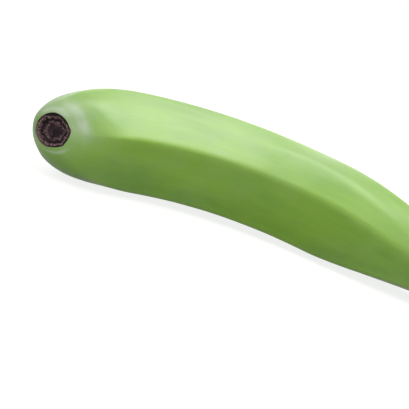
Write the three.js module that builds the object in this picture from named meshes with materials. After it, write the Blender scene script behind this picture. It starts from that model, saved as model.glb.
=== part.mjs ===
// A green plantain, picked and lying on its side. The fruit grew as one piece, so it is one closed
// solid: a curved, five-ridged body with a round flower scar at one end and a cut stalk at the other.
//
// Millimetres, +Z up. X runs along the fruit, from the flower scar (-X) to the cut stalk (+X), and the
// hollow side of its bend faces -Y. The origin is the middle of the bounding box, on the surface that
// the fruit rests on.
import * as THREE from "three";

// ---- Driving sizes -------------------------------------------------------------------------------

const SPINE_LENGTH = 290; // along the middle of the fruit, from flower scar to cut stalk
const RIDGE_RADIUS = 25.1; // from the spine to the ridges at the belly
const SCAR_RADIUS = 7.2; // the round corky scar where the flower was
const STALK_RADIUS = 8.6;
const STALK_FLARE = 1.12; // the stalk widens again where it was cut from the bunch

const BEND = 69.4; // degrees that the spine turns between the scar and the neck
const BEND_END = 216; // where that turning has died away
const BEND_MIDDLE = 51.1; // degrees turned where the spine runs along X
const TIP_HOOK = 8.8; // further degrees that the flower end hooks inwards
const TIP_HOOK_FADE = 21;
const TIP_LIFT = -0.4; // slope of the spine at the flower end, out of the plane of the bend
const TIP_LIFT_FADE = 29;

const DOME_LENGTH = 86; // over which the flower end swells to the full radius
const DOME_POWER = 5.4; // 2 is an ellipse, and more is blunter
const NECK_START = 147; // where the body begins to narrow
const NECK_END = 265; // where the neck has become the stalk

const SCAR_SLANT = 18; // degrees that the scar faces the hollow side
const SCAR_SLANT_FADE = 16;
const SCAR_SINK = 1.6; // how deep the middle of the scar lies under its rim
const STALK_SLANT = 9; // degrees that the knife was off square
const STALK_BEVEL = 0.9; // worn edge of the cut

// Ridges run the length of the fruit. Angles are round the spine: 0 is the outer side of the bend, 90
// is up and 180 is the hollow side. Towards the neck they gather round its inner side.
const RIDGES = [
  { angle: 67, gather: 14 },
  { angle: 142, gather: 12 },
  { angle: 212, gather: -24 },
  { angle: 283, gather: 0 },
  { angle: 355, gather: 6 },
];
const RIDGE_DRIFT = 12; // degrees that the second ridge drifts at the flower end
const RIDGE_DRIFT_FADE = 22;
const MINOR_RIDGE = { angle: 101, gather: 27, share: 0.7 }; // weaker, and only towards the neck
const RIDGE_CRISPNESS = 30; // power of the rounded polygon: higher is sharper
const ANGULARITY = 0.8; // 0 is a round section and 1 is a full polygon
const TIP_ANGULARITY = 0.1; // at the flower end, before the ridges stand out

// How the fruit settles on a flat surface: turned about X, then about Y, then sunk a little, because
// the peel flattens where it carries the weight.
const REST_ROLL = 16.2;
const REST_PITCH = 1.12;
const REST_SINK = 0.6;

// Mesh resolution
const STATIONS_DOME = 20;
const STATIONS_BODY = 44;
const COLUMNS_PER_FACET = 9;

// ---- Small helpers -------------------------------------------------------------------------------

const radians = THREE.MathUtils.degToRad;
const { clamp, lerp } = THREE.MathUtils;

/** 0 before a, 1 after b, with a smooth step between. */
function step(x, a, b) {
  const t = clamp((x - a) / (b - a), 0, 1);
  return t * t * (3 - 2 * t);
}

// ---- The spine -----------------------------------------------------------------------------------

/** Unit direction of the spine at arc length s: the turning rate falls off as a parabola. */
function spineDirection(s) {
  const x = Math.min(s / BEND_END, 1);
  const turned = radians(BEND) * (1.5 * x - 0.5 * x ** 3);
  const hooked = radians(TIP_HOOK) * Math.exp(-s / TIP_HOOK_FADE);
  const heading = turned - hooked - radians(BEND_MIDDLE);
  const lift = TIP_LIFT * Math.exp(-s / TIP_LIFT_FADE);
  return new THREE.Vector3(Math.cos(heading), -Math.sin(heading), lift).normalize();
}

/** Point, direction, outward and upward axes of the spine at each arc length, by fine steps. */
function spineFrames(stations) {
  const stepLength = 0.25;
  const point = new THREE.Vector3();
  const up = new THREE.Vector3(0, 0, 1);
  let travelled = 0;
  return stations.map((s) => {
    while (travelled < s) {
      const ds = Math.min(stepLength, s - travelled);
      point.addScaledVector(spineDirection(travelled + ds / 2), ds);
      travelled += ds;
    }
    const along = spineDirection(s);
    const out = new THREE.Vector3().crossVectors(up, along).normalize();
    return { s, point: point.clone(), along, out, up: new THREE.Vector3().crossVectors(along, out) };
  });
}

// ---- The section ---------------------------------------------------------------------------------

/** Distance from the spine to the ridges at arc length s: blunt dome, full belly, neck and flare. */
function ridgeRadius(s) {
  const u = Math.max(1 - s / DOME_LENGTH, 0);
  const dome = Math.sqrt(1 - (1 - (SCAR_RADIUS / RIDGE_RADIUS) ** 2) * u ** DOME_POWER);
  const neck = lerp(1, STALK_RADIUS / RIDGE_RADIUS, step(s, NECK_START, NECK_END));
  const flare = lerp(1, STALK_FLARE, step(s, NECK_END, SPINE_LENGTH));
  return RIDGE_RADIUS * dome * neck * flare;
}

/** Where the ridges stand at s: one drifts at the flower end, and all gather on the neck. */
function ridgeAngles(s) {
  const gathered = step(s, 135, 240);
  const drift = RIDGE_DRIFT * Math.exp(-s / RIDGE_DRIFT_FADE);
  return RIDGES.map(({ angle, gather }, i) => angle + gather * gathered + (i === 1 ? drift : 0));
}

/** Radius, as a share of the corner radius, of a rounded polygon whose corners stand at `corners`. */
function roundedPolygon(angle, corners) {
  let sum = 0;
  corners.forEach((corner, i) => {
    const next = i + 1 < corners.length ? corners[i + 1] : corners[0] + 360;
    const reach = Math.cos(radians(angle - (corner + next) / 2));
    if (reach > 0) sum += (reach / Math.cos(radians(next - corner) / 2)) ** RIDGE_CRISPNESS;
  });
  return (sum / 2) ** (-1 / RIDGE_CRISPNESS);
}

/** Radius of the section at arc length s and angle, with the minor ridge fading in along the fruit. */
function sectionRadius(s, angle) {
  const ridges = ridgeAngles(s);
  const minor = MINOR_RIDGE.angle + MINOR_RIDGE.gather * step(s, 130, 205);
  const five = roundedPolygon(angle, ridges);
  const six = roundedPolygon(angle, [ridges[0], minor, ...ridges.slice(1)]);
  const polygon = lerp(five, six, MINOR_RIDGE.share * step(s, 80, 135));
  const risen = lerp(TIP_ANGULARITY, ANGULARITY, step(s, 0, 40));
  const angular = risen * lerp(1, 0.5, step(s, 225, SPINE_LENGTH));
  return ridgeRadius(s) * lerp(1, polygon, angular);
}

// ---- The skin ------------------------------------------------------------------------------------

/** Angles of the mesh columns at s: evenly spread between the ridges, so that each ridge is an edge. */
function columnAngles(s) {
  const ridges = ridgeAngles(s);
  return ridges.flatMap((ridge, i) => {
    const next = i + 1 < ridges.length ? ridges[i + 1] : ridges[0] + 360;
    return Array.from({ length: COLUMNS_PER_FACET }, (_, k) => lerp(ridge, next, k / COLUMNS_PER_FACET));
  });
}

/** One ring of skin points. `share` shrinks it towards the spine and `push` moves it along. */
function skinRing(frame, share = 1, push = 0) {
  const scarSlant = -Math.tan(radians(SCAR_SLANT)) * Math.exp(-frame.s / SCAR_SLANT_FADE);
  const stalkSlant = Math.tan(radians(STALK_SLANT)) * step(frame.s, SPINE_LENGTH - 12, SPINE_LENGTH);
  return columnAngles(frame.s).map((angle) => {
    const radius = share * sectionRadius(frame.s, angle);
    const outwards = radius * Math.cos(radians(angle));
    const upwards = radius * Math.sin(radians(angle));
    return frame.point
      .clone()
      .addScaledVector(frame.out, outwards)
      .addScaledVector(frame.up, upwards)
      .addScaledVector(frame.along, push + outwards * scarSlant + upwards * stalkSlant);
  });
}

/** Every ring from the middle of the scar, over the skin, to the middle of the cut stalk. */
function allRings() {
  const domeStations = Array.from({ length: STATIONS_DOME }, (_, i) => {
    return 0.72 * DOME_LENGTH * (1 - Math.cos((i / STATIONS_DOME) * (Math.PI / 2)));
  });
  const bodyStations = Array.from({ length: STATIONS_BODY + 1 }, (_, i) => {
    return lerp(0.72 * DOME_LENGTH, SPINE_LENGTH - STALK_BEVEL, i / STATIONS_BODY);
  });
  const frames = spineFrames([...domeStations, ...bodyStations, SPINE_LENGTH]);
  const scar = frames[0];
  const cut = frames[frames.length - 1];
  const bevelled = 1 - STALK_BEVEL / STALK_RADIUS;
  return [
    skinRing(scar, 0.3, SCAR_SINK),
    skinRing(scar, 0.62, 0.85 * SCAR_SINK),
    skinRing(scar, 0.82, 0.2 * SCAR_SINK),
    ...frames.slice(0, -1).map((frame) => skinRing(frame)),
    skinRing(cut, bevelled),
    skinRing(cut, 0.45 * bevelled),
  ];
}

/** A closed geometry over the rings, with a fan at each end. */
function loft(rings) {
  const columns = rings[0].length;
  const points = rings.flat();
  const middles = [rings[0], rings[rings.length - 1]].map((ring) =>
    ring.reduce((sum, p) => sum.add(p), new THREE.Vector3()).divideScalar(columns),
  );
  const indices = [];
  for (let i = 0; i + 1 < rings.length; i++) {
    for (let j = 0; j < columns; j++) {
      const a = i * columns + j;
      const b = i * columns + ((j + 1) % columns);
      indices.push(a, b, b + columns, a, b + columns, a + columns);
    }
  }
  const first = points.length;
  const lastRing = (rings.length - 1) * columns;
  for (let j = 0; j < columns; j++) {
    const next = (j + 1) % columns;
    indices.push(first, next, j);
    indices.push(first + 1, lastRing + j, lastRing + next);
  }
  const geometry = new THREE.BufferGeometry().setFromPoints([...points, ...middles]);
  geometry.setIndex(indices);
  return geometry;
}

/** Lays the fruit down: turns it to its resting pose, centres it, and flattens what is underneath. */
function layDown(geometry) {
  geometry.rotateX(radians(REST_ROLL)).rotateY(radians(REST_PITCH));
  geometry.computeBoundingBox();
  const { min, max } = geometry.boundingBox;
  geometry.translate(-(min.x + max.x) / 2, -(min.y + max.y) / 2, -min.z - REST_SINK);
  const position = geometry.getAttribute("position");
  for (let i = 0; i < position.count; i++) {
    position.setZ(i, Math.max(position.getZ(i), 0));
  }
  geometry.computeVertexNormals();
  return geometry;
}

// ---- The object ----------------------------------------------------------------------------------

const peel = new THREE.MeshStandardMaterial({ color: 0x86b24f, roughness: 0.5, metalness: 0 });

const plantain = new THREE.Mesh(layDown(loft(allRings())), peel);
plantain.name = "plantain";

const fruit = new THREE.Group();
fruit.add(plantain);

export default fruit;
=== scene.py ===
"""A whole green plantain, picked and lying on its side.

The fruit is one closed skin. It is worked out in millimetres on a grid of two parameters, the distance
along the fruit and the angle round it, then laid down in the frame and written in metres.
"""

import logging
import math
from collections.abc import Sequence
from dataclasses import dataclass, field
from enum import Enum
from typing import Union

import bpy
import numpy as np
from mathutils import Matrix, Vector


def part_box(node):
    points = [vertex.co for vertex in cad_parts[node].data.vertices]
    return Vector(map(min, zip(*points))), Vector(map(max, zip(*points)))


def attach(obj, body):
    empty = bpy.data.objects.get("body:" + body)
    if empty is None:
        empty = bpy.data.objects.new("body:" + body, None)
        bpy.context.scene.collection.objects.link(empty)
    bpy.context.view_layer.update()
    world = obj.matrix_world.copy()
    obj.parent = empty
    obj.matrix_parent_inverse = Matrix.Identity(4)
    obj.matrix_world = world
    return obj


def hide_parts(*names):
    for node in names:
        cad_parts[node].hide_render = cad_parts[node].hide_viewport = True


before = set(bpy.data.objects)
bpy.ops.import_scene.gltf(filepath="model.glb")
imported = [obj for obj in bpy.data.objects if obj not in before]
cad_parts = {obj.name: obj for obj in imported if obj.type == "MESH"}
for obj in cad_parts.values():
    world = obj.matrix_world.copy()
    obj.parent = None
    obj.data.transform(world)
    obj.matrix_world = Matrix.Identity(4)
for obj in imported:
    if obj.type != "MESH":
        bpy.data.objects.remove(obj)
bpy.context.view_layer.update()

LOG = logging.getLogger("plantain")
MM = 0.001
NODE = "plantain"

Array = np.ndarray
Colour = tuple[float, float, float]
Socket = bpy.types.NodeSocket
Input = Union[Socket, float, Sequence[float]]


# ---- Curves of one variable ----------------------------------------------------------------------


def smoothstep(x: Array, low: float, high: float) -> Array:
    """A smooth step from 0 at low to 1 at high: t squared times (3 - 2t), with t clipped to 0..1.

    Args:
        x: Where the step is wanted.
        low: Where it leaves 0.
        high: Where it reaches 1.

    Returns:
        The step at each x.
    """
    t = np.clip((x - low) / (high - low), 0.0, 1.0)
    return t * t * (3.0 - 2.0 * t)


def mix(a: Array, b: Array, share: Array) -> Array:
    """A straight blend from a to b."""
    return a + (b - a) * share


def turned_from(angle: Array, other: Array | float) -> Array:
    """How far one angle is turned from another, between -180 and 180 degrees."""
    return (angle - other + 180.0) % 360.0 - 180.0


def waves(
    x: Array, turns: Sequence[float], phases: Sequence[float], heights: Sequence[float]
) -> Array:
    """A sum of sines: the height of each times the sine of its turns times x plus its phase.

    Args:
        x: The variable, as any array.
        turns: Radians of each sine per unit of x.
        phases: Radians that each sine is ahead.
        heights: Height of each sine.

    Returns:
        The sum at each x.
    """
    total = np.zeros_like(x, dtype=float)
    for turn, phase, height in zip(turns, phases, heights):
        total = total + height * np.sin(turn * x + phase)
    return total


# ---- The fruit's form, in millimetres ------------------------------------------------------------


@dataclass(frozen=True)
class Frames:
    """Points on the spine and the three axes there, one row for each station."""

    point: Array
    along: Array
    out: Array
    up: Array


@dataclass(frozen=True)
class Spine:
    """The middle line of the fruit, from the flower scar to the cut stalk."""

    length: float = 290.0
    bend: float = 69.4
    bend_end: float = 216.0
    bend_middle: float = 51.1
    hook: float = 8.8
    hook_fade: float = 21.0
    lift: float = -0.4
    lift_fade: float = 29.0
    samples: int = 6000

    def directions(self, s: Array) -> Array:
        """Unit direction of the spine.

        The heading is bend times (1.5x - 0.5x cubed), with x the share of the bend's length, less a hook
        that dies away exponentially; the slope out of the bend's plane dies away in the same way.

        Args:
            s: Distances along the spine.

        Returns:
            One direction for each distance.
        """
        x = np.clip(s / self.bend_end, 0.0, 1.0)
        turned = math.radians(self.bend) * (1.5 * x - 0.5 * x**3)
        hooked = math.radians(self.hook) * np.exp(-s / self.hook_fade)
        heading = turned - hooked - math.radians(self.bend_middle)
        slope = self.lift * np.exp(-s / self.lift_fade)
        direction = np.stack([np.cos(heading), -np.sin(heading), slope], axis=1)
        return direction / np.linalg.norm(direction, axis=1, keepdims=True)

    def frames(self, s: Array) -> Frames:
        """Points and axes on the spine, by summing its direction in small steps.

        Args:
            s: Distances along the spine.

        Returns:
            The point, the direction, the outer side of the bend and the upper side at each distance.
        """
        fine = np.linspace(0.0, self.length, self.samples)
        middles = self.directions((fine[1:] + fine[:-1]) / 2.0)
        steps = middles * np.diff(fine)[:, None]
        path = np.vstack([np.zeros(3), np.cumsum(steps, axis=0)])
        point = np.stack([np.interp(s, fine, path[:, k]) for k in range(3)], axis=1)
        along = self.directions(s)
        out = np.cross([0.0, 0.0, 1.0], along)
        out /= np.linalg.norm(out, axis=1, keepdims=True)
        return Frames(point, along, out, np.cross(along, out))


@dataclass(frozen=True)
class Ridge:
    """A ridge that runs the length of the fruit, at an angle round the spine, in degrees."""

    angle: float
    gather: float


@dataclass(frozen=True)
class Section:
    """The section across the fruit: a rounded polygon with a ridge at each corner."""

    ridge_radius: float = 25.1
    scar_radius: float = 7.2
    stalk_radius: float = 8.6
    stalk_flare: float = 1.12
    dome_length: float = 86.0
    dome_power: float = 5.4
    neck_start: float = 147.0
    neck_end: float = 265.0
    length: float = 290.0
    crispness: float = 30.0
    angularity: float = 0.8
    tip_angularity: float = 0.1
    drifting: int = 1
    drift: float = 12.0
    drift_fade: float = 22.0
    gathering: tuple[float, float] = (135.0, 240.0)
    rise: float = 40.0
    softening: float = 225.0
    softened: float = 0.5
    ridge_width: float = 2.6
    ridges: tuple[Ridge, ...] = (
        Ridge(67.0, 14.0),
        Ridge(142.0, 12.0),
        Ridge(212.0, -24.0),
        Ridge(283.0, 0.0),
        Ridge(355.0, 6.0),
    )
    minor: Ridge = Ridge(101.0, 27.0)
    minor_share: float = 0.7
    minor_fade: tuple[float, float] = (80.0, 135.0)
    minor_gathering: tuple[float, float] = (130.0, 205.0)

    def corners(self, s: Array) -> Array:
        """Angles of the ridges, in degrees: each its own plus its gathering on the neck.

        Args:
            s: Distances along the fruit.

        Returns:
            One row of angles for each distance.
        """
        gathered = smoothstep(s, *self.gathering)[:, None]
        own = np.array([ridge.angle for ridge in self.ridges])
        gather = np.array([ridge.gather for ridge in self.ridges])
        corners = own + gather * gathered
        corners[:, self.drifting] += self.drift * np.exp(-s / self.drift_fade)
        return corners

    def minor_corner(self, s: Array) -> Array:
        """Angle of the minor ridge, in degrees."""
        return self.minor.angle + self.minor.gather * smoothstep(s, *self.minor_gathering)

    def minor_height(self, s: Array) -> Array:
        """Share of the minor ridge's full height, which fades in along the fruit, one row for each s."""
        return (self.minor_share * smoothstep(s, *self.minor_fade))[:, None]

    def radius(self, s: Array) -> Array:
        """Distance from the spine to the ridges: a blunt dome, a full belly, a neck and a flare.

        The dome is the square root of 1 less a power of the distance left to its end.

        Args:
            s: Distances along the fruit.

        Returns:
            The distance at each s.
        """
        left = np.clip(1.0 - s / self.dome_length, 0.0, None)
        tip = 1.0 - (self.scar_radius / self.ridge_radius) ** 2
        dome = np.sqrt(1.0 - tip * left**self.dome_power)
        neck = mix(1.0, self.stalk_radius / self.ridge_radius, smoothstep(s, self.neck_start, self.neck_end))
        flare = mix(1.0, self.stalk_flare, smoothstep(s, self.neck_end, self.length))
        return self.ridge_radius * dome * neck * flare

    def polygon(self, angle: Array, corners: Array) -> Array:
        """A rounded polygon as a share of its corner radius.

        Each side's reach is the cosine of the angle from its middle over the cosine of its half width.
        The share is half the sum of the reaches' powers, to the power of -1 over the crispness.

        Args:
            angle: Angles round the spine, one row for each station, in degrees.
            corners: Angles of the corners, one row for each station, in degrees.

        Returns:
            The share at each angle.
        """
        after = np.concatenate([corners[:, 1:], corners[:, :1] + 360.0], axis=1)
        total = np.zeros_like(angle)
        for first, last in zip(corners.T, after.T):
            reach = np.cos(np.radians(angle - ((first + last) / 2.0)[:, None]))
            reach = reach / np.cos(np.radians((last - first) / 2.0))[:, None]
            total += np.clip(reach, 1e-9, None) ** self.crispness
        return (total / 2.0) ** (-1.0 / self.crispness)

    def around(self, s: Array, angle: Array) -> Array:
        """Radius of the section, with the minor ridge fading in along the fruit.

        Args:
            s: Distances along the fruit.
            angle: Angles round the spine, one row for each distance, in degrees.

        Returns:
            The radius at each angle.
        """
        corners = self.corners(s)
        five = self.polygon(angle, corners)
        six_corners = np.column_stack([corners[:, :1], self.minor_corner(s), corners[:, 1:]])
        six = self.polygon(angle, six_corners)
        polygon = mix(five, six, self.minor_height(s))
        risen = mix(self.tip_angularity, self.angularity, smoothstep(s, 0.0, self.rise))
        angular = risen * mix(1.0, self.softened, smoothstep(s, self.softening, self.length))
        return self.radius(s)[:, None] * mix(1.0, polygon, angular[:, None])

    def beside(self, s: Array, angle: Array, corner: Array) -> Array:
        """A bell curve of the distance from one ridge, round the fruit.

        Args:
            s: Distances along the fruit.
            angle: Angles round the spine, one row for each distance, in degrees.
            corner: The ridge's own angle at each distance.

        Returns:
            1 on the ridge, falling to 0 on the facets beside it.
        """
        away = np.radians(turned_from(angle, corner[:, None])) * self.radius(s)[:, None]
        return np.exp(-((away / self.ridge_width) ** 2))

    def ridge_mask(self, s: Array, angle: Array) -> Array:
        """The greatest of the bell curves of every ridge, with the minor one as strong as it is high.

        Args:
            s: Distances along the fruit.
            angle: Angles round the spine, one row for each distance, in degrees.

        Returns:
            The mask at each angle.
        """
        mask = self.minor_height(s) * self.beside(s, angle, self.minor_corner(s))
        for corner in self.corners(s).T:
            mask = np.maximum(mask, self.beside(s, angle, corner))
        return mask


# ---- Shader nodes --------------------------------------------------------------------------------


class Nodes:
    """A node tree and short ways of adding nodes to it."""

    def __init__(self, tree: bpy.types.NodeTree) -> None:
        """Starts on a tree, which it empties."""
        self.tree = tree
        tree.nodes.clear()

    def put(self, socket: Socket, value: Input) -> None:
        """Links a socket to another, or sets its own value.

        Args:
            socket: The input to fill.
            value: An output to link, a number or a colour.
        """
        if isinstance(value, bpy.types.NodeSocket):
            self.tree.links.new(value, socket)
        elif socket.type == "RGBA" and len(value) == 3:
            socket.default_value = (*value, 1.0)
        else:
            socket.default_value = value

    def add(
        self, kind: str, inputs: dict[str | int, Input] | None = None, **settings: object
    ) -> bpy.types.Node:
        """Adds a node.

        Args:
            kind: The node's type, such as ShaderNodeTexNoise.
            inputs: Values of its inputs, by name or by place.
            settings: Its other settings.

        Returns:
            The node.
        """
        node = self.tree.nodes.new(kind)
        for name, value in settings.items():
            setattr(node, name, value)
        for name, value in (inputs or {}).items():
            self.put(node.inputs[name], value)
        return node

    def attribute(self, name: str) -> bpy.types.Node:
        """Reads one of the piece's own attributes."""
        return self.add("ShaderNodeAttribute", attribute_name=name)

    def math(self, operation: str, *values: Input, clamp: bool = False) -> Socket:
        """Arithmetic on up to three numbers."""
        inputs = dict(enumerate(values))
        return self.add("ShaderNodeMath", inputs, operation=operation, use_clamp=clamp).outputs[0]

    def times(self, a: Input, b: Input) -> Socket:
        """One number times another."""
        return self.math("MULTIPLY", a, b)

    def plus(self, a: Input, b: Input, clamp: bool = False) -> Socket:
        """One number plus another."""
        return self.math("ADD", a, b, clamp=clamp)

    def scaled(self, vector: Socket, scale: Sequence[float]) -> Socket:
        """A vector times a scale along each axis."""
        return self.add("ShaderNodeVectorMath", {0: vector, 1: scale}, operation="MULTIPLY").outputs[0]

    def noise(self, vector: Socket, scale: float, detail: float = 3.0, rough: float = 0.5) -> Socket:
        """Fractal noise between 0 and 1."""
        inputs = {"Vector": vector, "Scale": scale, "Detail": detail, "Roughness": rough}
        return self.add("ShaderNodeTexNoise", inputs).outputs[0]

    def ramp(self, value: Input, low: float, high: float, start: float = 0.0, end: float = 1.0) -> Socket:
        """A smooth step of a number from start at low to end at high."""
        inputs = {"Value": value, "From Min": low, "From Max": high, "To Min": start, "To Max": end}
        return self.add("ShaderNodeMapRange", inputs, interpolation_type="SMOOTHSTEP").outputs[0]

    def band(self, value: Input, rise: tuple[float, float], fall: tuple[float, float]) -> Socket:
        """A smooth step up over the first span times a smooth step down over the second."""
        return self.times(self.ramp(value, *rise), self.ramp(value, *fall, 1.0, 0.0))

    def blend(self, share: Input, a: Input, b: Input, how: str = "MIX") -> Socket:
        """A blend of two colours."""
        inputs = {0: share, 6: a, 7: b}
        return self.add("ShaderNodeMix", inputs, data_type="RGBA", blend_type=how).outputs[2]

    def seen_as(self, light: Input, look: Input) -> Socket:
        """One number for the light that falls on other things and another for what the camera sees."""
        seen = self.add("ShaderNodeLightPath").outputs["Is Camera Ray"]
        return self.add("ShaderNodeMix", {0: seen, 2: light, 3: look}, data_type="FLOAT").outputs[0]

    def group(self, tree: bpy.types.NodeTree, inputs: dict[str, Input]) -> bpy.types.Node:
        """Places a node group with its own values."""
        return self.add("ShaderNodeGroup", inputs, node_tree=tree)


class Kind(Enum):
    """What a group's socket carries."""

    VALUE = "NodeSocketFloat"
    VECTOR = "NodeSocketVector"


def new_group(
    name: str, takes: dict[str, Kind], gives: dict[str, Kind]
) -> tuple[bpy.types.NodeTree, Nodes, bpy.types.Node, bpy.types.Node]:
    """Makes an empty shader node group with named sockets.

    Args:
        name: The group's name.
        takes: Its inputs and what each carries.
        gives: Its outputs and what each carries.

    Returns:
        The group, a way to add nodes to it, and its input and output nodes.
    """
    tree = bpy.data.node_groups.new(name, "ShaderNodeTree")
    for socket, kind in takes.items():
        tree.interface.new_socket(socket, in_out="INPUT", socket_type=kind.value)
    for socket, kind in gives.items():
        tree.interface.new_socket(socket, in_out="OUTPUT", socket_type=kind.value)
    nodes = Nodes(tree)
    return tree, nodes, nodes.add("NodeGroupInput"), nodes.add("NodeGroupOutput")


@dataclass
class Effects:
    """The effects that more than one finish uses, each a node group built once."""

    fibres: bpy.types.NodeTree = field(init=False)
    specks: bpy.types.NodeTree = field(init=False)

    def build(self) -> None:
        """Builds every group."""
        self.fibres = self.build_fibres()
        self.specks = self.build_specks()

    @staticmethod
    def build_fibres() -> bpy.types.NodeTree:
        """Fine and coarse noise, drawn out along one axis of its vector, as plant fibres are.

        Returns:
            The group.
        """
        takes = {"Vector": Kind.VECTOR, "Fine": Kind.VALUE, "Coarse": Kind.VALUE}
        gives = {"Fibres": Kind.VALUE, "Bands": Kind.VALUE}
        tree, nodes, source, sink = new_group("plant_fibres", takes, gives)
        drawn = nodes.scaled(source.outputs["Vector"], (0.035, 1.0, 1.0))
        wide = nodes.scaled(source.outputs["Vector"], (0.12, 1.0, 1.0))
        fine = nodes.add("ShaderNodeTexNoise", {"Vector": drawn, "Detail": 4.0, "Roughness": 0.6})
        nodes.put(fine.inputs["Scale"], source.outputs["Fine"])
        coarse = nodes.add("ShaderNodeTexNoise", {"Vector": wide, "Detail": 3.0, "Roughness": 0.5})
        nodes.put(coarse.inputs["Scale"], source.outputs["Coarse"])
        nodes.put(sink.inputs["Fibres"], fine.outputs[0])
        nodes.put(sink.inputs["Bands"], coarse.outputs[0])
        return tree

    @staticmethod
    def build_specks() -> bpy.types.NodeTree:
        """Scattered round specks: a cell whose random number is under the share holds one at its point.

        Returns:
            The group.
        """
        takes = {"Vector": Kind.VECTOR, **{name: Kind.VALUE for name in ("Scale", "Size", "Share")}}
        tree, nodes, source, sink = new_group("specks", takes, {"Mask": Kind.VALUE})
        cells = nodes.add("ShaderNodeTexVoronoi", {"Vector": source.outputs["Vector"]})
        nodes.put(cells.inputs["Scale"], source.outputs["Scale"])
        parts = nodes.add("ShaderNodeSeparateColor", {"Color": cells.outputs["Color"]})
        chosen = nodes.math("LESS_THAN", parts.outputs[0], source.outputs["Share"])
        size = nodes.times(source.outputs["Size"], nodes.ramp(parts.outputs[1], 0.0, 1.0, 0.4, 1.0))
        reached = nodes.math("DIVIDE", cells.outputs["Distance"], size)
        inside = nodes.math("SUBTRACT", 1.0, reached, clamp=True)
        soft = nodes.ramp(inside, 0.0, 0.5)
        nodes.put(sink.inputs["Mask"], nodes.times(soft, chosen))
        return tree


@dataclass(frozen=True)
class Finish:
    """What every finish shares: a name, a bump's strength and depth, and one Principled shader."""

    name: str
    bump: float = 0.5
    depth: float = 0.0002

    def start(self) -> tuple[bpy.types.Material, Nodes, bpy.types.Node]:
        """Makes an empty material.

        Returns:
            The material, a way to add nodes to it, and its Principled node.
        """
        material = bpy.data.materials.new(self.name)
        material.use_nodes = True
        nodes = Nodes(material.node_tree)
        shader = nodes.add("ShaderNodeBsdfPrincipled")
        nodes.add("ShaderNodeOutputMaterial", {"Surface": shader.outputs[0]})
        return material, nodes, shader

    def fill(
        self, nodes: Nodes, shader: bpy.types.Node, colour: Socket, rough: Socket, height: Socket
    ) -> None:
        """Feeds the shader what changes over the surface.

        Args:
            nodes: The way to add nodes to the material.
            shader: The material's Principled node.
            colour: Its colour.
            rough: Its roughness.
            height: The height of its bump, of which 1 is as deep as the finish says.
        """
        bump = nodes.add("ShaderNodeBump", {"Strength": self.bump, "Distance": self.depth, "Height": height})
        for name, value in {"Base Color": colour, "Roughness": rough, "Normal": bump.outputs[0]}.items():
            nodes.put(shader.inputs[name], value)


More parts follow.
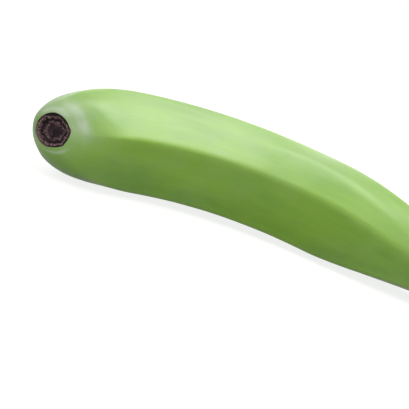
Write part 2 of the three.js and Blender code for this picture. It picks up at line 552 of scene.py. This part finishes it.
@dataclass(frozen=True)
class PeelFinish(Finish):
    """Smooth green peel: soft bands and fibres along it, ridges paler from wear and with a painted
    highlight, wax bloom with a painted sheen and highlights, and a few marks.
    """

    name: str = "green_peel"
    bump: float = 0.35
    green: Colour = (0.168, 0.354, 0.008)
    deep: Colour = (0.118, 0.288, 0.004)
    bright: Colour = (0.203, 0.394, 0.018)
    pale_wear_and_highlight: Colour = (0.280, 0.470, 0.080)
    # Pale wax colour, also used for the painted sheen and highlights.
    wax_and_sheen: Colour = (0.55, 0.61, 0.52)
    bark: Colour = (0.055, 0.030, 0.020)
    dry: Colour = (0.215, 0.215, 0.075)
    brown: Colour = (0.085, 0.052, 0.024)
    roughness: float = 0.37
    rim: float = 1.03
    sheen: float = 0.35
    sheen_roughness: float = 0.45
    coat: float = 0.28
    coat_roughness: float = 0.34
    wax_and_highlight_cover: float = 0.72
    film_cover: float = 0.055
    dry_from: float = 0.250
    brown_from: float = 0.278
    drawn_out: tuple[float, float, float] = (0.45, 1.0, 1.0)
    fibre_scale: float = 1500.0
    band_scale: float = 130.0
    mottle_scale: float = 42.0
    patch_scale: float = 70.0
    film_scale: float = 38.0
    rub_scale: float = 420.0
    grain_scale: float = 2200.0
    mark_scale: float = 110.0
    mark_size: float = 0.050
    mark_share: float = 0.20
    # Paleness of the ridges: partly wear, partly a painted highlight.
    ridge_wear_and_highlight: float = 0.28
    stalk_end: float = 0.2895
    brown_end: float = 0.2893
    marked: tuple[float, float] = (0.03, 0.10)
    unmarked: tuple[float, float] = (0.19, 0.25)

    def material(self, effects: Effects) -> bpy.types.Material:
        """Builds the material.

        Args:
            effects: The shared node groups.

        Returns:
            The material.
        """
        material, nodes, shader = self.start()
        shader.inputs["Sheen Weight"].default_value = self.sheen
        shader.inputs["Sheen Roughness"].default_value = self.sheen_roughness
        shader.inputs["Coat Weight"].default_value = self.coat
        shader.inputs["Coat Roughness"].default_value = self.coat_roughness
        place = nodes.attribute("straight").outputs["Vector"]
        along = nodes.add("ShaderNodeSeparateXYZ", {"Vector": place}).outputs[0]
        ridge = nodes.attribute("ridge").outputs["Fac"]
        across = nodes.attribute("across").outputs["Fac"]
        body = nodes.add("ShaderNodeTexCoord").outputs["Object"]
        scales = {"Vector": place, "Fine": self.fibre_scale, "Coarse": self.band_scale}
        drawn = nodes.group(effects.fibres, scales)
        fibres, bands = drawn.outputs["Fibres"], drawn.outputs["Bands"]
        mottle = nodes.noise(nodes.scaled(place, self.drawn_out), self.mottle_scale, 3.0, 0.55)
        colour = nodes.blend(nodes.ramp(mottle, 0.32, 0.62), self.deep, self.green)
        colour = nodes.blend(nodes.ramp(bands, 0.40, 0.80, 0.0, 0.6), colour, self.bright)
        # The ridges are painted paler, partly for wear and partly as a painted highlight along them.
        colour = nodes.blend(nodes.times(ridge, self.ridge_wear_and_highlight), colour, self.pale_wear_and_highlight)
        streak = nodes.ramp(fibres, 0.30, 0.70, 0.955, 1.03)
        tint = nodes.add("ShaderNodeCombineColor", {"Red": streak, "Green": streak, "Blue": streak})
        colour = nodes.blend(1.0, colour, tint.outputs[0], "MULTIPLY")
        # Wax bloom: soft round the flower end, and as a faint film elsewhere. Round the flower end it also
        # carries a painted sheen on the upper side and painted highlight arcs round the scar.
        patches = nodes.noise(nodes.scaled(place, (0.8, 1.0, 1.0)), self.patch_scale, 4.0, 0.5)
        wax_and_sheen = nodes.attribute("wax_and_painted_light").outputs["Fac"]
        patch = nodes.times(nodes.ramp(patches, 0.30, 0.65, 0.45, 1.0), wax_and_sheen)
        clouds = nodes.noise(body, self.film_scale, 4.0, 0.55)
        film = nodes.ramp(clouds, 0.38, 0.72, 0.0, self.film_cover)
        wax_and_painted_light = nodes.math("MAXIMUM", nodes.times(patch, self.wax_and_highlight_cover), film)
        colour = nodes.blend(wax_and_painted_light, colour, self.wax_and_sheen)
        # The peel dries by the scar's rim and by the knife's cut.
        rim = nodes.ramp(across, self.rim, self.rim + 0.03, 1.0, 0.0)
        colour = nodes.blend(rim, colour, self.bark)
        cut = nodes.ramp(along, self.dry_from, self.stalk_end)
        torn = nodes.plus(cut, nodes.ramp(fibres, 0.30, 0.70, -0.35, 0.35))
        colour = nodes.blend(nodes.ramp(torn, 0.45, 1.15, 0.0, 0.8), colour, self.dry)
        frayed = nodes.ramp(fibres, 0.30, 0.70, -0.3, 0.3)
        edge = nodes.plus(nodes.ramp(along, self.brown_from, self.brown_end), frayed)
        colour = nodes.blend(nodes.ramp(edge, 0.45, 1.10, 0.0, 0.75), colour, self.brown)
        # Small brown marks and, on the ridges, a few rubs.
        spots = {"Scale": self.mark_scale, "Size": self.mark_size, "Share": self.mark_share}
        dots = nodes.group(effects.specks, {"Vector": place, **spots})
        rubbed = nodes.noise(nodes.scaled(place, self.drawn_out), self.rub_scale, 3.0, 0.6)
        rub = nodes.times(nodes.ramp(rubbed, 0.66, 0.74), nodes.ramp(ridge, 0.60, 0.97, 0.0, 0.45))
        marks = nodes.math("MAXIMUM", nodes.times(dots.outputs["Mask"], 0.6), rub)
        marks = nodes.times(marks, nodes.band(along, self.marked, self.unmarked))
        colour = nodes.blend(marks, colour, self.bark)
        rough = nodes.ramp(fibres, 0.3, 0.7, self.roughness - 0.05, self.roughness + 0.05)
        rough = nodes.plus(rough, nodes.times(wax_and_painted_light, 0.28))
        rough = nodes.plus(rough, nodes.times(ridge, 0.12))
        rough = nodes.plus(rough, nodes.times(marks, 0.3), clamp=True)
        grain = nodes.noise(place, self.grain_scale, 2.0)
        height = nodes.plus(nodes.times(fibres, 0.6), nodes.times(grain, 0.25))
        height = nodes.plus(height, nodes.times(bands, 1.2))
        height = nodes.math("SUBTRACT", height, nodes.times(marks, 0.5))
        self.fill(nodes, shader, colour, rough, height)
        return material


@dataclass(frozen=True)
class ScarFinish(Finish):
    """The corky flower scar: a black rim, two pinkish rings of fibres and a dark, crumbly middle."""

    name: str = "flower_scar"
    bump: float = 0.9
    depth: float = 0.0005
    black: Colour = (0.006, 0.004, 0.005)
    purple: Colour = (0.040, 0.022, 0.034)
    brown: Colour = (0.078, 0.042, 0.044)
    pink: Colour = (0.300, 0.190, 0.185)
    specular: float = 0.2
    crumb_scale: float = 1300.0
    lump_scale: float = 520.0
    wandering: float = 0.09
    dust_scale: float = 1100.0
    dust_size: float = 0.35
    dust_share: float = 0.14
    inner_rise: tuple[float, float] = (0.42, 0.52)
    inner_fall: tuple[float, float] = (0.58, 0.66)
    trough_rise: tuple[float, float] = (0.60, 0.70)
    trough_fall: tuple[float, float] = (0.76, 0.83)
    ring_rise: tuple[float, float] = (0.76, 0.85)
    ring_fall: tuple[float, float] = (0.92, 1.00)

    def material(self, effects: Effects) -> bpy.types.Material:
        """Builds the material.

        Args:
            effects: The shared node groups.

        Returns:
            The material.
        """
        material, nodes, shader = self.start()
        place = nodes.attribute("disc").outputs["Vector"]
        across = nodes.attribute("across").outputs["Fac"]
        shader.inputs["Specular IOR Level"].default_value = self.specular
        crumbs = nodes.noise(place, self.crumb_scale, 4.0, 0.65)
        lumps = nodes.noise(place, self.lump_scale, 3.0, 0.55)
        spokes = nodes.attribute("spokes").outputs["Fac"]
        wander = nodes.plus(across, nodes.ramp(lumps, 0.25, 0.75, -self.wandering, self.wandering))
        middle = nodes.blend(nodes.ramp(crumbs, 0.38, 0.62), self.black, self.purple)
        middle = nodes.blend(nodes.ramp(lumps, 0.48, 0.66, 0.0, 0.7), middle, self.brown)
        threads = nodes.plus(crumbs, nodes.times(spokes, 0.08))
        fibre = nodes.blend(nodes.ramp(threads, 0.46, 0.66), self.brown, self.pink)
        inner = nodes.band(wander, self.inner_rise, self.inner_fall)
        trough = nodes.band(wander, self.trough_rise, self.trough_fall)
        ring = nodes.band(wander, self.ring_rise, self.ring_fall)
        colour = nodes.blend(nodes.times(inner, 0.5), middle, fibre)
        colour = nodes.blend(nodes.times(trough, 0.8), colour, self.black)
        colour = nodes.blend(ring, colour, fibre)
        outer = nodes.ramp(across, 0.94, 0.99)
        colour = nodes.blend(nodes.times(outer, 0.85), colour, self.black)
        grit = {"Scale": self.dust_scale, "Size": self.dust_size, "Share": self.dust_share}
        dust = nodes.group(effects.specks, {"Vector": place, **grit})
        colour = nodes.blend(nodes.times(dust.outputs["Mask"], 0.30), colour, self.pink)
        rough = nodes.ramp(crumbs, 0.3, 0.7, 0.62, 0.92)
        height = nodes.plus(crumbs, nodes.times(spokes, nodes.times(ring, 0.6)))
        self.fill(nodes, shader, colour, rough, height)
        return material


@dataclass(frozen=True)
class CutFinish(Finish):
    """The knife's cut through the stalk: pale fibre bundles in greenish flesh, brown at the edge."""

    name: str = "stalk_cut"
    bump: float = 0.7
    depth: float = 0.0003
    flesh: Colour = (0.40, 0.37, 0.20)
    stain: Colour = (0.20, 0.13, 0.055)
    bundle: Colour = (0.08, 0.045, 0.022)
    edge: Colour = (0.05, 0.03, 0.016)
    blotch_scale: float = 260.0
    grain_scale: float = 2400.0
    bundle_scale: float = 750.0
    bundle_size: float = 0.30
    bundle_share: float = 0.55

    def material(self, effects: Effects) -> bpy.types.Material:
        """Builds the material.

        Args:
            effects: The shared node groups.

        Returns:
            The material.
        """
        material, nodes, shader = self.start()
        place = nodes.attribute("disc").outputs["Vector"]
        across = nodes.attribute("across").outputs["Fac"]
        blotch = nodes.noise(place, self.blotch_scale, 3.0, 0.5)
        grain = nodes.noise(place, self.grain_scale, 3.0, 0.6)
        colour = nodes.blend(nodes.ramp(blotch, 0.35, 0.75, 0.0, 0.6), self.flesh, self.stain)
        colour = nodes.blend(nodes.ramp(across, 0.35, 1.0, 0.0, 0.5), colour, self.stain)
        bundles = {"Scale": self.bundle_scale, "Size": self.bundle_size, "Share": self.bundle_share}
        dots = nodes.group(effects.specks, {"Vector": place, **bundles})
        colour = nodes.blend(nodes.times(dots.outputs["Mask"], 0.6), colour, self.bundle)
        wander = nodes.plus(across, nodes.ramp(blotch, 0.3, 0.7, -0.04, 0.04))
        colour = nodes.blend(nodes.ramp(wander, 0.84, 0.98), colour, self.edge)
        rough = nodes.ramp(grain, 0.3, 0.7, 0.6, 0.85)
        height = nodes.math("SUBTRACT", grain, nodes.times(dots.outputs["Mask"], 0.9))
        self.fill(nodes, shader, colour, rough, height)
        return material


# ---- The fruit -----------------------------------------------------------------------------------


class Slot(Enum):
    """The fruit's material slots, in the order that its finishes are given."""

    PEEL = 0
    SCAR = 1
    CUT = 2


@dataclass(frozen=True)
class Rings:
    """A stack of rings of the skin: for each ring, the station, the share of the radius and the push."""

    s: Array
    share: Array
    push: Array


@dataclass(frozen=True)
class FlowerScar:
    """The round scar where the flower dropped off: a low lip round a sunken, crumbly disc."""

    rings: int = 34
    skin_rings: int = 2
    reach: float = 1.05
    polygon: float = 0.45
    first_corner: float = 145.0
    sink: float = 1.6
    stub: float = 0.5
    streaks: float = 41.0

    def shares(self) -> Array:
        """Ring sizes from near the middle out to the lip, as shares of the scar's radius."""
        return np.linspace(0.03, 0.985, self.rings)

    def outline(self, angle: Array) -> Array:
        """Reach of the scar's edge, as a share of its radius: an uneven six-sided figure.

        Args:
            angle: Angles round the spine, in degrees.

        Returns:
            The reach at each angle.
        """
        turn = np.radians(angle - self.first_corner)
        side = turn % (math.pi / 3.0) - math.pi / 6.0
        straight = math.cos(math.pi / 6.0) / np.cos(side)
        uneven = waves(turn, (1.0, 2.0, 5.0), (5.5, math.pi / 2.0, 1.0), (0.07, 0.05, 0.01))
        return self.reach * (mix(1.0, straight, self.polygon) + uneven)

    def spokes(self, angle: Array) -> Array:
        """Radial streaks from 0 to 1: a sine of many turns, whose phase sways with a slower one."""
        turn = np.radians(angle)
        return 0.5 + 0.5 * np.sin(turn * self.streaks + 2.0 * np.sin(5.0 * turn))

    def push(self, share: Array, angle: Array) -> Array:
        """How far the scar lies inwards of its rim.

        A bowl that is a smooth step of the share, less a stub in the middle, with radial fibres on the
        slope and crumbs all over, both sums of sines that die away at the lip.

        Args:
            share: Shares of the scar's radius, one row for each ring.
            angle: Angles round the spine, in degrees.

        Returns:
            The distance inwards, in millimetres.
        """
        turn = np.radians(angle)
        bowl = self.sink * (1.0 - smoothstep(share, 0.52, 0.96))
        stub = self.stub * np.exp(-((share / 0.14) ** 2))
        slope = smoothstep(share, 0.35, 0.6) * (1.0 - smoothstep(share, 0.86, 0.98))
        fibres = waves(turn + 0.35 * np.sin(3.0 * turn), (31, 47, 19), (0.4, 2.2, 4.0), (0.05, 0.03, 0.06))
        x, y = share * np.cos(turn), share * np.sin(turn)
        crumbs = waves(x, (13.0, 29.0, 41.0), (0.3, 1.9, 3.1), (0.09, 0.06, 0.04))
        crumbs = crumbs * waves(y, (11.0, 23.0, 37.0), (1.1, 0.2, 2.0), (1.2, 1.0, 0.8))
        fade = 1.0 - smoothstep(share, 0.88, 0.99)
        return bowl - stub + slope * fibres + fade * crumbs


@dataclass(frozen=True)
class StalkCut:
    """The knife's cut across the stalk: slanted, with a worn edge and a slightly sunken middle."""

    rings: int = 16
    slant: float = 9.0
    slant_length: float = 12.0
    bevel: float = 0.9
    sink: float = 0.5

    def shares(self) -> Array:
        """Ring sizes from the worn edge in to near the middle."""
        return np.linspace(1.0, 0.05, self.rings)

    def push(self, share: Array, angle: Array) -> Array:
        """How far the cut lies outwards of its edge: a shallow dish with torn fibres.

        Args:
            share: Shares of the cut's radius, one row for each ring.
            angle: Angles round the spine, in degrees.

        Returns:
            The distance outwards, in millimetres.
        """
        turn = np.radians(angle)
        dish = self.sink * (1.0 - share**2)
        x, y = share * np.cos(turn), share * np.sin(turn)
        tears = 0.06 * np.sin(17.0 * x + 0.5) * np.sin(23.0 * y + 1.0)
        return -dish + tears * (1.0 - share**4)


@dataclass
class Plantain:
    """The whole fruit: the skin over its spine, the flower scar and the cut stalk, in one mesh."""

    spine: Spine = Spine()
    section: Section = Section()
    scar: FlowerScar = FlowerScar()
    cut: StalkCut = StalkCut()
    rest_roll: float = 16.2
    rest_pitch: float = 1.12
    rest_sink: float = 0.6
    scar_slant: float = 18.0
    scar_slant_fade: float = 16.0
    crease: float = 1.1
    crease_spread: float = 16.0
    crease_sink: float = 0.35
    unevenness: float = 0.16
    rippling: float = 0.10
    relief_sink: float = 0.22
    # Wax bloom at the flower end with a painted sheen on its upper side, and arcs of painted highlight round
    # the scar.
    flower_end_wax_and_sheen: float = 0.8
    shaded_side_share: float = 0.30
    sheen_side: float = 85.0
    wax_and_sheen_fade: float = 8.5
    highlight_arcs: tuple[tuple[float, float, float, float], ...] = (
        (1.30, 0.10, 62.0, 38.0),
        (1.78, 0.26, 118.0, 30.0),
        (1.34, 0.08, 238.0, 28.0),
    )
    stations: int = 360
    columns_per_facet: int = 46
    object: bpy.types.Object | None = None

    def stations_along(self) -> Array:
        """Distances of the skin's rings: closer together at the flower end, as a power of 1.5 is."""
        x = np.linspace(0.0, 1.0, self.stations)
        return x**1.5 * (self.spine.length - self.cut.bevel)

    def angles(self, s: Array) -> Array:
        """Angles of the columns, evenly spread between the ridges, in degrees.

        Args:
            s: Distances along the fruit.

        Returns:
            One row of angles for each distance.
        """
        corners = self.section.corners(s)
        after = np.concatenate([corners[:, 1:], corners[:, :1] + 360.0], axis=1)
        share = np.arange(self.columns_per_facet) / self.columns_per_facet
        spread = corners[:, :, None] + (after - corners)[:, :, None] * share
        return spread.reshape(len(s), -1)

    def reach_of(self, s: Array) -> Array:
        """Distance from the spine as a share of the scar's radius, which never falls past the belly."""
        return np.maximum.accumulate(self.section.radius(s)) / self.section.scar_radius

    def wax_and_painted_light(self, s: Array, angle: Array, across: Array) -> Array:
        """Where the flower end's wax lies, with painted light: a painted sheen makes it heavier on the upper
        side, and arcs of painted highlight lie round the scar.

        The upper side is a cosine of the angle, fading exponentially along the fruit. Each arc is a bell
        curve of the distance from the scar times a bell curve of the angle.

        Args:
            s: Distances along the fruit.
            angle: Angles round the spine, one row for each distance, in degrees.
            across: Distances from the spine, as shares of the scar's radius.

        Returns:
            The wax with its painted sheen and highlights, from 0 to 1.
        """
        # Painted sheen: the wax is made heavier towards the upper side, where the light falls.
        facing = np.clip(np.cos(np.radians(angle - self.sheen_side)), 0.0, 1.0)
        upper = mix(self.shaded_side_share, 1.0, facing)
        wax_and_sheen = self.flower_end_wax_and_sheen * upper * np.exp(-s / self.wax_and_sheen_fade)[:, None]
        # Each arc is a painted highlight on the peel round the scar.
        for reach, width, middle, spread in self.highlight_arcs:
            apart = turned_from(angle, middle) / spread
            wax_and_sheen = wax_and_sheen + np.exp(-(((across - reach) / width) ** 2) - apart**2)
        return np.clip(wax_and_sheen, 0.0, 1.0)

    def relief(self, s: Array, angle: Array) -> Array:
        """Slow unevenness of the skin, in millimetres: products of sines along and round the fruit.

        At the flower end, a crease along the drifting ridge is added: a fall by exponent on both sides.

        Args:
            s: Distances along the fruit.
            angle: Angles round the spine, one row for each distance, in degrees.

        Returns:
            The height over the plain form, which is mostly a little below it.
        """
        turn = np.radians(angle)
        slow = waves(s, (0.045, 0.093, 0.171), (0.4, 2.0, 4.4), (0.5, 0.35, 0.2))[:, None]
        around = waves(turn, (1.0, 2.0, 3.0, 5.0), (0.7, 2.9, 1.2, 0.3), (0.5, 0.5, 0.4, 0.3))
        length = s[:, None]
        ripple = 0.25 * np.sin(0.31 * length + 2.0 * turn + 1.0) * np.sin(7.0 * turn + 0.02 * length)
        corner = self.section.corners(s)[:, self.section.drifting, None]
        apart = np.abs(turned_from(angle, corner))
        tip = (smoothstep(s, 0.3, 6.0) * (1.0 - smoothstep(s, 16.0, 42.0)))[:, None]
        crease = self.crease * tip * (np.exp(-apart / self.crease_spread) - self.crease_sink)
        height = self.unevenness * slow * around + self.rippling * ripple
        fade = smoothstep(s, 0.0, 12.0) * (1.0 - smoothstep(s, 270.0, 289.0))
        return (height - self.relief_sink) * fade[:, None] + crease

    def ring_points(self, rings: Rings, angle: Array, radius: Array) -> tuple[Array, Array]:
        """Places rings of points round the spine.

        Each point is its share of the radius outwards and upwards from the spine, moved along the spine by
        its push and by the slants of the scar and of the cut, which grow with the distance outwards.

        Args:
            rings: The rings' stations, shares and pushes.
            angle: Angles round the spine, one row for each ring, in degrees.
            radius: The full radius at each angle.

        Returns:
            The points, and the same points with the spine made straight.
        """
        frames = self.spine.frames(rings.s)
        turn = np.radians(angle)
        outwards = rings.share * radius * np.cos(turn)
        upwards = rings.share * radius * np.sin(turn)
        scar = -math.tan(math.radians(self.scar_slant)) * np.exp(-rings.s / self.scar_slant_fade)
        near_cut = smoothstep(rings.s, self.spine.length - self.cut.slant_length, self.spine.length)
        cut = math.tan(math.radians(self.cut.slant)) * near_cut
        along = rings.push + outwards * scar[:, None] + upwards * cut[:, None]
        points = frames.point[:, None] + outwards[..., None] * frames.out[:, None]
        points = points + upwards[..., None] * frames.up[:, None] + along[..., None] * frames.along[:, None]
        straight = np.stack([rings.s[:, None] + rings.push, outwards, upwards], axis=2)
        return points, straight

    def lay_down(self, points: Array) -> Array:
        """Turns the fruit to its resting pose, sets it in the frame's box and flattens its underside.

        Args:
            points: Points round the spine, in millimetres.

        Returns:
            The points in the frame, in metres.
        """
        roll, pitch = math.radians(self.rest_roll), math.radians(self.rest_pitch)
        turn = Matrix.Rotation(pitch, 3, "Y") @ Matrix.Rotation(roll, 3, "X")
        turned = points @ np.array(turn).T
        low, high = (np.array(corner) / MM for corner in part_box(NODE))
        least, most = turned.min(axis=0), turned.max(axis=0)
        least[2] += self.rest_sink
        share = (turned - least) / (most - least)
        placed = low + share * (high - low)
        placed[:, 2] = np.maximum(placed[:, 2], low[2])
        return placed * MM

    def build(self) -> bpy.types.Object:
        """Works out the skin and writes it as one closed mesh with its attributes.

        Returns:
            The fruit's object.
        """
        body_s = self.stations_along()
        scar_share, cut_share = self.scar.shares(), self.cut.shares()
        s = np.concatenate([np.zeros(len(scar_share)), body_s, np.full(len(cut_share), self.spine.length)])
        angle = self.angles(s)
        first, last = len(scar_share), len(s) - len(cut_share)
        share = np.ones_like(s)
        share[:first] = scar_share
        share[last:] = cut_share * (1.0 - self.cut.bevel / self.section.stalk_radius)
        share = share[:, None] * np.ones_like(angle)
        push = np.zeros_like(angle)
        push[:first] = self.scar.push(share[:first], angle[:first])
        push[last:] = self.cut.push(cut_share[:, None] * np.ones_like(angle[last:]), angle[last:])
        radius = self.section.around(s, angle)
        radius[first:last] += self.relief(body_s, angle[first:last])
        points, straight = self.ring_points(Rings(s, share, push), angle, radius)
        across = share.copy()
        across[first:last] = self.reach_of(body_s)[:, None]
        wax_and_painted_light = self.wax_and_painted_light(s, angle, across)
        across[:last] /= self.scar.outline(angle[:last])
        ridge = self.section.ridge_mask(s, angle) * smoothstep(s, 3.0, 25.0)[:, None]
        vectors = {"straight": straight * MM, "disc": np.roll(straight, -1, axis=2) * MM}
        numbers = {"ridge": ridge, "across": across, "spokes": self.scar.spokes(angle), "wax_and_painted_light": wax_and_painted_light}
        self.object = self.write_mesh(points, vectors, numbers, (first, last))
        return self.object

    def write_mesh(
        self, points: Array, vectors: dict[str, Array], numbers: dict[str, Array], parts: tuple[int, int]
    ) -> bpy.types.Object:
        """Joins the rings into quads, closes each end with a fan and writes the attributes.

        Args:
            points: The points, by ring and column, in millimetres.
            vectors: Vector attributes, by ring and column.
            numbers: Number attributes, by ring and column.
            parts: The first ring of the skin and the first of the cut.

        Returns:
            The object.
        """
        rings, columns = points.shape[:2]
        index = np.arange(rings * columns).reshape(rings, columns)
        here, there = index[:-1], index[1:]
        quads = np.stack([here, np.roll(here, -1, axis=1), np.roll(there, -1, axis=1), there], axis=2)
        start, end = rings * columns, rings * columns + 1
        first_fan = np.stack([np.full(columns, start), np.roll(index[0], -1), index[0]], axis=1)
        last_fan = np.stack([np.full(columns, end), index[-1], np.roll(index[-1], -1)], axis=1)
        flat = np.concatenate([points.reshape(-1, 3), points[[0, -1]].mean(axis=1)])
        verts = self.lay_down(flat)
        mesh = bpy.data.meshes.new(NODE)
        faces = quads.reshape(-1, 4).tolist() + first_fan.tolist() + last_fan.tolist()
        mesh.from_pydata(verts.tolist(), [], faces)
        finish = np.zeros((rings - 1, columns), dtype=np.int32)
        finish[: parts[0] + self.scar.skin_rings] = Slot.SCAR.value
        finish[parts[1] - 1 :] = Slot.CUT.value
        fans = np.repeat([Slot.SCAR.value, Slot.CUT.value], columns)
        slots = np.concatenate([finish.ravel(), fans]).astype(np.int32)
        mesh.polygons.foreach_set("material_index", slots)
        mesh.polygons.foreach_set("use_smooth", np.ones(len(slots), dtype=bool))
        for name, grid in vectors.items():
            data = np.concatenate([grid.reshape(-1, 3), grid[[0, -1]].mean(axis=1)])
            mesh.attributes.new(name, "FLOAT_VECTOR", "POINT").data.foreach_set("vector", data.ravel())
        for name, grid in numbers.items():
            ends = np.array([grid[0].mean(), grid[-1].mean()])
            data = np.concatenate([grid.ravel(), ends])
            mesh.attributes.new(name, "FLOAT", "POINT").data.foreach_set("value", data)
        mesh.update()
        made = bpy.data.objects.new("whole_plantain", mesh)
        bpy.context.scene.collection.objects.link(made)
        return made

    def dress(self, effects: Effects) -> None:
        """Gives the skin, the scar and the cut their finishes.

        Args:
            effects: The shared node groups.
        """
        finishes = {Slot.PEEL: PeelFinish(), Slot.SCAR: ScarFinish(), Slot.CUT: CutFinish()}
        for slot in Slot:
            self.object.data.materials.append(finishes[slot].material(effects))

    def fasten(self) -> None:
        """Puts the fruit on the frame in place of the plain solid."""
        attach(self.object, "root")
        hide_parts(NODE)


# ---- The studio ----------------------------------------------------------------------------------


@dataclass(frozen=True)
class Viewpoint:
    """The camera: where it aims, from which side, how far off and how it is rolled."""

    aim: tuple[float, float, float] = (-0.0548, 0.0509, -0.0082)
    azimuth: float = -1.24
    elevation: float = 15.54
    roll: float = 21.46
    distance: float = 0.440
    sensor: float = 36.0
    lens: float = 70.6

    def axes(self) -> tuple[Vector, Vector, Vector]:
        """The camera's right, up and forward directions.

        Returns:
            The three unit vectors.
        """
        az, el, roll = (math.radians(a) for a in (self.azimuth, self.elevation, self.roll))
        forward = Vector((-math.sin(az) * math.cos(el), math.cos(az) * math.cos(el), -math.sin(el)))
        level = Vector((math.cos(az), math.sin(az), 0.0))
        upright = level.cross(forward)
        right = math.cos(roll) * level + math.sin(roll) * upright
        up = math.cos(roll) * upright - math.sin(roll) * level
        return right, up, forward

    def build(self) -> bpy.types.Object:
        """Makes the camera and hands it to the scene.

        Returns:
            The camera.
        """
        right, up, forward = self.axes()
        data = bpy.data.cameras.new("camera")
        data.sensor_width = self.sensor
        data.lens = self.lens
        data.clip_start = 0.01
        camera = bpy.data.objects.new("camera", data)
        place = Matrix.Translation(Vector(self.aim) - self.distance * forward)
        camera.matrix_world = place @ Matrix((right, up, -forward)).transposed().to_4x4()
        bpy.context.scene.collection.objects.link(camera)
        bpy.context.scene.camera = camera
        return camera


FRUIT_MIDDLE = Vector((0.0, 0.0, 0.02))
WHITE: Colour = (1.0, 1.0, 1.0)


@dataclass(frozen=True)
class Softbox:
    """A soft studio lamp, placed by the camera's right, up and backward directions."""

    name: str
    direction: tuple[float, float, float]
    distance: float
    size: tuple[float, float]
    watts: float

    def build(self, viewpoint: Viewpoint) -> None:
        """Makes the lamp, aimed at the fruit's middle.

        Args:
            viewpoint: The camera whose directions place it.
        """
        right, up, forward = viewpoint.axes()
        across, above, back = self.direction
        way = (across * right + above * up - back * forward).normalized()
        data = bpy.data.lights.new(self.name, "AREA")
        data.shape = "RECTANGLE"
        data.size, data.size_y = self.size
        data.energy = self.watts
        lamp = bpy.data.objects.new(self.name, data)
        lamp.location = FRUIT_MIDDLE + way * self.distance
        lamp.rotation_euler = way.to_track_quat("Z", "Y").to_euler()
        bpy.context.scene.collection.objects.link(lamp)


@dataclass(frozen=True)
class Studio:
    """A white table without an end, an even white surround and the softboxes."""

    half_width: float = 6.0
    depth: float = 0.0001
    glow_near: float = 0.25
    glow_far: float = 1.0
    table_albedo: float = 0.32
    table_glow: float = 0.82
    table_light: float = 0.16
    surround: float = 0.28
    boxes: tuple[Softbox, ...] = (
        Softbox("key_softbox", (0.45, 0.86, 0.03), 1.0, (0.66, 0.66), 8.0),
        Softbox("front_softbox", (-0.05, -0.25, 0.97), 1.3, (0.8, 0.8), 3.9),
        Softbox("side_softbox", (-0.10, 0.74, 0.66), 1.1, (0.9, 0.8), 4.4),
        Softbox("back_softbox", (0.05, 0.70, -0.70), 1.1, (1.2, 0.5), 4.8),
        Softbox("right_softbox", (0.56, 0.46, 0.68), 1.1, (0.45, 0.7), 3.0),
    )

    def build_table(self) -> bpy.types.Object:
        """Makes the table, which can be seen only from above.

        Returns:
            The table.
        """
        mesh = bpy.data.meshes.new("table")
        signs = ((-1, -1), (1, -1), (1, 1), (-1, 1))
        corners = [(x * self.half_width, y * self.half_width, -self.depth) for x, y in signs]
        mesh.from_pydata(corners, [], [(0, 1, 2, 3)])
        table = bpy.data.objects.new("table", mesh)
        bpy.context.scene.collection.objects.link(table)
        material = bpy.data.materials.new("white_table")
        material.use_nodes = True
        nodes = Nodes(material.node_tree)
        albedo = (self.table_albedo,) * 3
        matt = nodes.add("ShaderNodeBsdfDiffuse", {"Color": albedo})
        place = nodes.add("ShaderNodeTexCoord").outputs["Object"]
        away = nodes.add("ShaderNodeVectorMath", {0: place}, operation="LENGTH").outputs["Value"]
        glow = nodes.ramp(away, self.glow_near, self.glow_far, self.table_glow, 1.0)
        glow = nodes.add("ShaderNodeEmission", {"Strength": nodes.seen_as(self.table_light, glow)})
        lit = nodes.add("ShaderNodeAddShader", {0: matt.outputs[0], 1: glow.outputs[0]})
        clear = nodes.add("ShaderNodeBsdfTransparent")
        below = nodes.add("ShaderNodeNewGeometry").outputs["Backfacing"]
        both = nodes.add("ShaderNodeMixShader", {0: below, 1: lit.outputs[0], 2: clear.outputs[0]})
        nodes.add("ShaderNodeOutputMaterial", {"Surface": both.outputs[0]})
        mesh.materials.append(material)
        return table

    def build_surround(self) -> None:
        """Lights the fruit evenly from all round, in front of plain white."""
        world = bpy.data.worlds.new("surround")
        world.use_nodes = True
        nodes = Nodes(world.node_tree)
        strength = nodes.seen_as(self.surround, 1.0)
        background = nodes.add("ShaderNodeBackground", {"Color": WHITE, "Strength": strength})
        nodes.add("ShaderNodeOutputWorld", {"Surface": background.outputs[0]})
        bpy.context.scene.world = world

    def build(self, viewpoint: Viewpoint) -> None:
        """Builds the table, the surround and the softboxes.

        Args:
            viewpoint: The camera whose directions place the softboxes.
        """
        self.build_table()
        self.build_surround()
        for softbox in self.boxes:
            softbox.build(viewpoint)
        bpy.context.scene.view_settings.view_transform = "Standard"


# ---- The whole scene -----------------------------------------------------------------------------


def main() -> None:
    """Builds the fruit and the studio round it, and reports each piece."""
    logging.basicConfig(level=logging.INFO, format="%(name)s: %(message)s")
    viewpoint = Viewpoint()
    viewpoint.build()
    Studio().build(viewpoint)
    effects = Effects()
    effects.build()
    fruit = Plantain()
    made = fruit.build()
    fruit.dress(effects)
    fruit.fasten()
    LOG.info("%s: %d points, %d faces", made.name, len(made.data.vertices), len(made.data.polygons))


if __name__ == "__main__":
    main()
